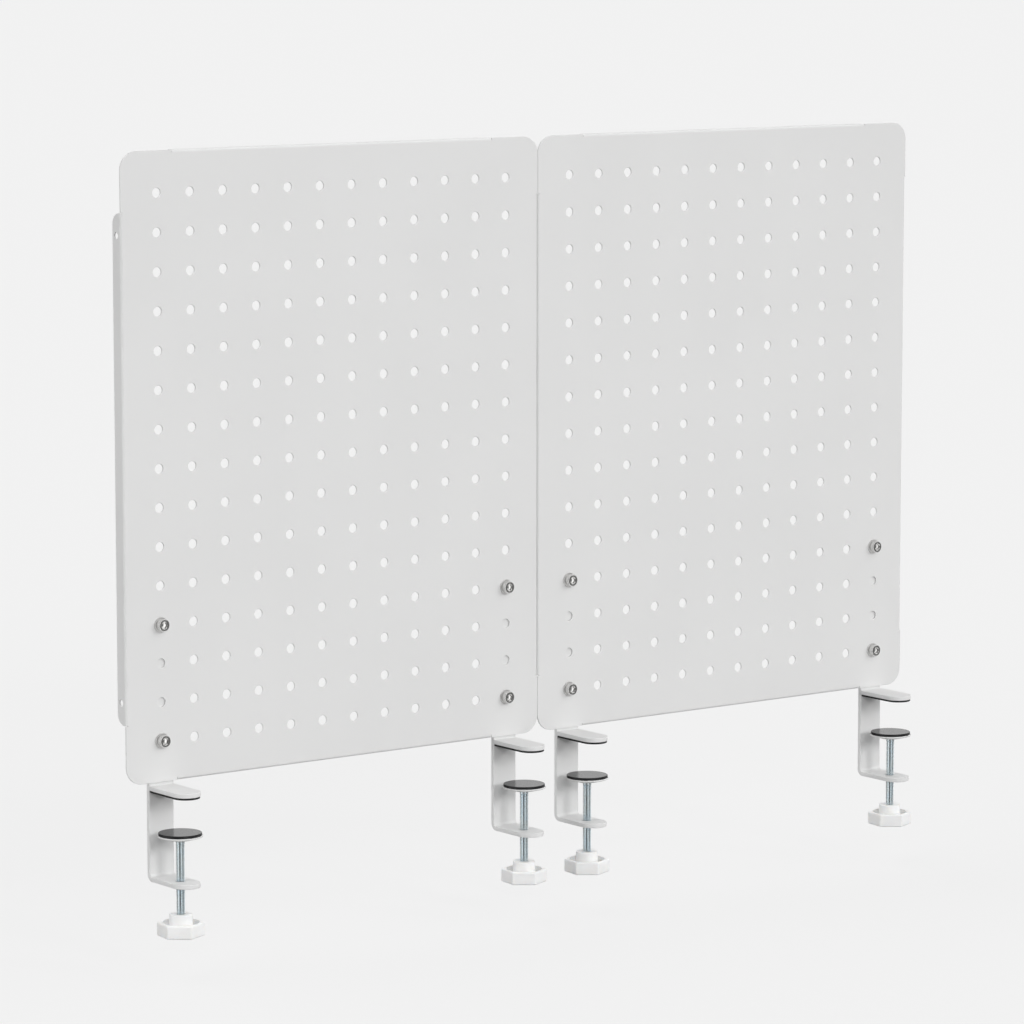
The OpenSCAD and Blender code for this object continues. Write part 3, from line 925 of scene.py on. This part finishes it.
class PEGBOARD_OT_bolts(bpy.types.Operator):
    """Socket bolts with washers in front of the boards, and their nuts behind the brackets"""

    bl_idname = "pegboard.make_bolts"
    bl_label = "Make Board Bolts"

    def execute(self, context):
        s = context.scene.pegboard_bolt
        forward, backward = Matrix.Rotation(QUARTER, 4, "X"), Matrix.Rotation(-QUARTER, 4, "X")
        for k in CLAMPS:
            x = middle(f"bracket_{k}").x
            heights = bolt_heights(k)
            low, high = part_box(f"board_bolts_{k}")
            seat = low.y + s.head_height
            bolt = socket_head(s.bolt, s.bolt_lead, s.head, s.head_height, s.head_edge,
                               s.socket, high.y - seat)
            turns = (0.35 + k, 0.9 - k)
            bolts = copies(bolt, [Matrix.Translation((x, seat, z)) @ forward @ Matrix.Rotation(turn, 4, "Z")
                                  for z, turn in zip(heights, turns)])
            piece(f"socket_bolts_{k}", bolts, ROOT, "nickel_bolt", [f"board_bolts_{k}"], 35)
            low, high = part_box(f"board_washers_{k}")
            outer, bore, thick, soft = s.washer / 2, s.washer_bore / 2, high.y - low.y, 0.12 * MM
            section = rounded([(bore, thick / 2), (bore, 0, soft), (outer, 0, soft), (outer, thick, 0.3 * MM),
                               (bore, thick, soft), (bore, thick / 2)], 0)
            washers = copies(welded(loft(lathe(section, round_angles(72)))),
                             [Matrix.Translation((x, high.y, z)) @ forward for z in heights])
            piece(f"plain_washers_{k}", washers, ROOT, "nickel_bolt", [f"board_washers_{k}"],
                  look="nickel_washer")
            low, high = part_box(f"board_nuts_{k}")
            nuts = copies(hex_nut(s.nut, high.y - low.y, s.bolt / 2),
                          [Matrix.Translation((x, low.y, z)) @ backward for z in heights])
            piece(f"hex_nuts_{k}", nuts, ROOT, "zinc_plate", [f"board_nuts_{k}"], 25)
        return {"FINISHED"}


class PEGBOARD_OT_joining(bpy.types.Operator):
    """Screws and nuts that hold the two boards side by side"""

    bl_idname = "pegboard.make_joining"
    bl_label = "Make Joining Screws"

    def execute(self, context):
        s = context.scene.pegboard_bolt
        low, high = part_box("joining_screws")
        y = (low.y + high.y) / 2
        radius = s.joining_head / 2
        heights = (low.z + radius, high.z - radius)
        seat = low.x + s.joining_head_height
        left, right = Matrix.Rotation(-QUARTER, 4, "Y"), Matrix.Rotation(QUARTER, 4, "Y")
        screw = socket_head(s.joining, s.joining_lead, s.joining_head, s.joining_head_height, s.head_edge,
                            s.joining_socket, high.x - seat)
        screws = copies(screw, [Matrix.Translation((seat, y, z)) @ left for z in heights])
        piece("joining_screw_pair", screws, ROOT, "nickel_bolt", ["joining_screws"], 35)
        low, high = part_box("joining_nuts")
        nuts = copies(hex_nut(s.joining_nut, high.x - low.x, s.joining / 2),
                      [Matrix.Translation((low.x, y, z)) @ right for z in heights])
        piece("joining_nut_pair", nuts, ROOT, "zinc_plate", ["joining_nuts"], 25)
        return {"FINISHED"}


# Azimuth, half width, lowest and highest elevation in degrees, and radiance of each soft box
BOXES = (
    (-2, 16, -75, 65, 1.3),
    (48, 26, 14, 65, 1.0),
    (48, 26, -75, -30, 1.0),
    (90, 20, -75, 65, 0.5),
    (-105, 27, -75, 65, 1.25),
    (143, 35, 3, 35, 1.2),
)
# Softness of a box's upright edges in degrees, and of its level edges in sines of the elevation
EDGE_TURN, EDGE_RISE = 5, 0.08
# Name, azimuth and elevation in degrees, strength, and angle in degrees of each lamp
LAMPS = (
    ("key_left", -30, 20, 0.49, 12),
    ("key_middle", 2, 20, 0.49, 12),
    ("key_right", 34, 20, 0.49, 12),
    ("back", -160, 60, 0.5, 30),
    ("fill", -95, 25, 0.30, 40),
)


class PEGBOARD_OT_stage(bpy.types.Operator):
    """Pale floor, studio dome, lamps and the photograph's camera"""

    bl_idname = "pegboard.make_stage"
    bl_label = "Make Stage"

    def floor(self, s):
        """A round sheet of paper. The camera sees it at the backdrop's brightness, with part of its shade."""
        level = CAD_BOX[0].z - s.floor_drop
        disc = loft([[(0, 0, level)], ring(s.floor_radius, level, round_angles(64))])
        mesh = mesh_of("paper_floor", disc)
        paper = bpy.data.materials.new("stage_paper")
        tree = Tree(paper)
        plain = tree.node("BsdfDiffuse", {}, {"Color": (s.bounce,) * 3})
        lit = tree.node("BsdfDiffuse", {}, {"Color": (s.paper,) * 3})
        flat = tree.node("Emission", {}, {"Color": (1, 1, 1), "Strength": s.backdrop})
        seen = tree.node("MixShader", {}, {0: s.shadow, 1: flat, 2: lit})
        camera = tree.node("LightPath", output="Is Camera Ray")
        shown = tree.node("MixShader", {}, {0: camera, 1: plain, 2: seen})
        tree.node("OutputMaterial", {}, {"Surface": shown})
        mesh.materials.append(paper)
        obj = linked("paper_floor", mesh)
        obj.visible_glossy = False

    def dome(self, s):
        """Studio walls with tall soft boxes. Azimuths run from the front to the right."""
        world = bpy.data.worlds.new("studio_dome")
        tree = Tree(world)
        way = tree.node("TexCoord", output="Generated")
        level = tree.node("VectorMath", {"operation": "MULTIPLY"}, {0: way, 1: (1, 1, 0)})
        level = tree.node("VectorMath", {"operation": "NORMALIZE"}, {0: level})
        height = tree.node("SeparateXYZ", {}, {0: way}, output="Z")
        total = s.walls
        for azimuth, half, low, high, power in BOXES:
            side = math.radians(azimuth)
            along = tree.node("VectorMath", {"operation": "DOT_PRODUCT"},
                              {0: level, 1: (math.sin(side), -math.cos(side), 0)}, output="Value")
            outer, inner = (math.cos(math.radians(half + edge)) for edge in (EDGE_TURN, -EDGE_TURN))
            low, high = (math.sin(math.radians(e)) for e in (low, high))
            box = along.between(outer, inner) * height.between(low - EDGE_RISE, low + EDGE_RISE)
            box = box * height.between(high + EDGE_RISE, high - EDGE_RISE)
            total = box * power + total
        camera = tree.node("LightPath", output="Is Camera Ray")
        seen = tree.node("Mix", {"data_type": "FLOAT"}, {0: camera, 2: total, 3: s.backdrop})
        shown = tree.node("Background", {}, {"Color": (1, 1, 1), "Strength": seen})
        tree.node("OutputWorld", {}, {"Surface": shown})
        bpy.context.scene.world = world

    def lamp(self, name, azimuth, elevation, strength, angle):
        """A distant lamp that isn't mirrored in the object. Its place is only for show."""
        side, up = math.radians(azimuth), math.radians(elevation)
        data = bpy.data.lights.new(name, "SUN")
        data.energy, data.angle = strength, math.radians(angle)
        obj = linked(name, data)
        towards = Vector((math.sin(side) * math.cos(up), -math.cos(side) * math.cos(up), math.sin(up)))
        obj.rotation_euler = towards.to_track_quat("Z", "Y").to_euler()
        obj.location = towards * 3
        obj.visible_glossy = False

    def execute(self, context):
        s = context.scene.pegboard_stage
        data = bpy.data.cameras.new("photo_camera")
        data.lens, data.sensor_width = s.lens, 36
        data.clip_start, data.clip_end = 0.1, 200
        camera = linked("photo_camera", data)
        camera.location = s.eye
        camera.rotation_euler = (QUARTER - s.dip, 0, s.azimuth)
        context.scene.camera = camera
        self.dome(s)
        for lamp in LAMPS:
            self.lamp(*lamp)
        self.floor(s)
        context.scene.view_settings.view_transform = "Standard"
        return {"FINISHED"}


class PEGBOARD_PT_panel(bpy.types.Panel):
    """Lists the pegboard's operators and sizes"""

    bl_label = "Pegboard"
    bl_idname = "PEGBOARD_PT_panel"
    bl_space_type = "VIEW_3D"
    bl_region_type = "UI"
    bl_category = "Pegboard"

    def draw(self, context):
        for maker in MAKERS:
            self.layout.operator(maker.bl_idname)
        for name in SETTINGS:
            group = getattr(context.scene, name)
            box = self.layout.box()
            for prop in type(group).__annotations__:
                box.prop(group, prop)


MAKERS = (PEGBOARD_OT_stage, PEGBOARD_OT_boards, PEGBOARD_OT_brackets, PEGBOARD_OT_jaws,
          PEGBOARD_OT_clamp_screws, PEGBOARD_OT_knobs, PEGBOARD_OT_feet, PEGBOARD_OT_bolts,
          PEGBOARD_OT_joining)
SETTINGS = {"pegboard_board": BoardSizes, "pegboard_clamp": ClampSizes, "pegboard_foot": FootSizes,
            "pegboard_bolt": BoltSizes, "pegboard_finishes": FinishColours, "pegboard_stage": StageSettings}


def register():
    for cls in (*SETTINGS.values(), *MAKERS, PEGBOARD_PT_panel):
        bpy.utils.register_class(cls)
    for name, group in SETTINGS.items():
        setattr(bpy.types.Scene, name, PointerProperty(type=group))


def unregister():
    for name in SETTINGS:
        delattr(bpy.types.Scene, name)
    for cls in (PEGBOARD_PT_panel, *reversed(MAKERS), *SETTINGS.values()):
        bpy.utils.unregister_class(cls)


def main():
    """Makes everything."""
    register()
    for maker in MAKERS:
        group, name = maker.bl_idname.split(".")
        getattr(getattr(bpy.ops, group), name)()


if __name__ == "__main__":
    main()
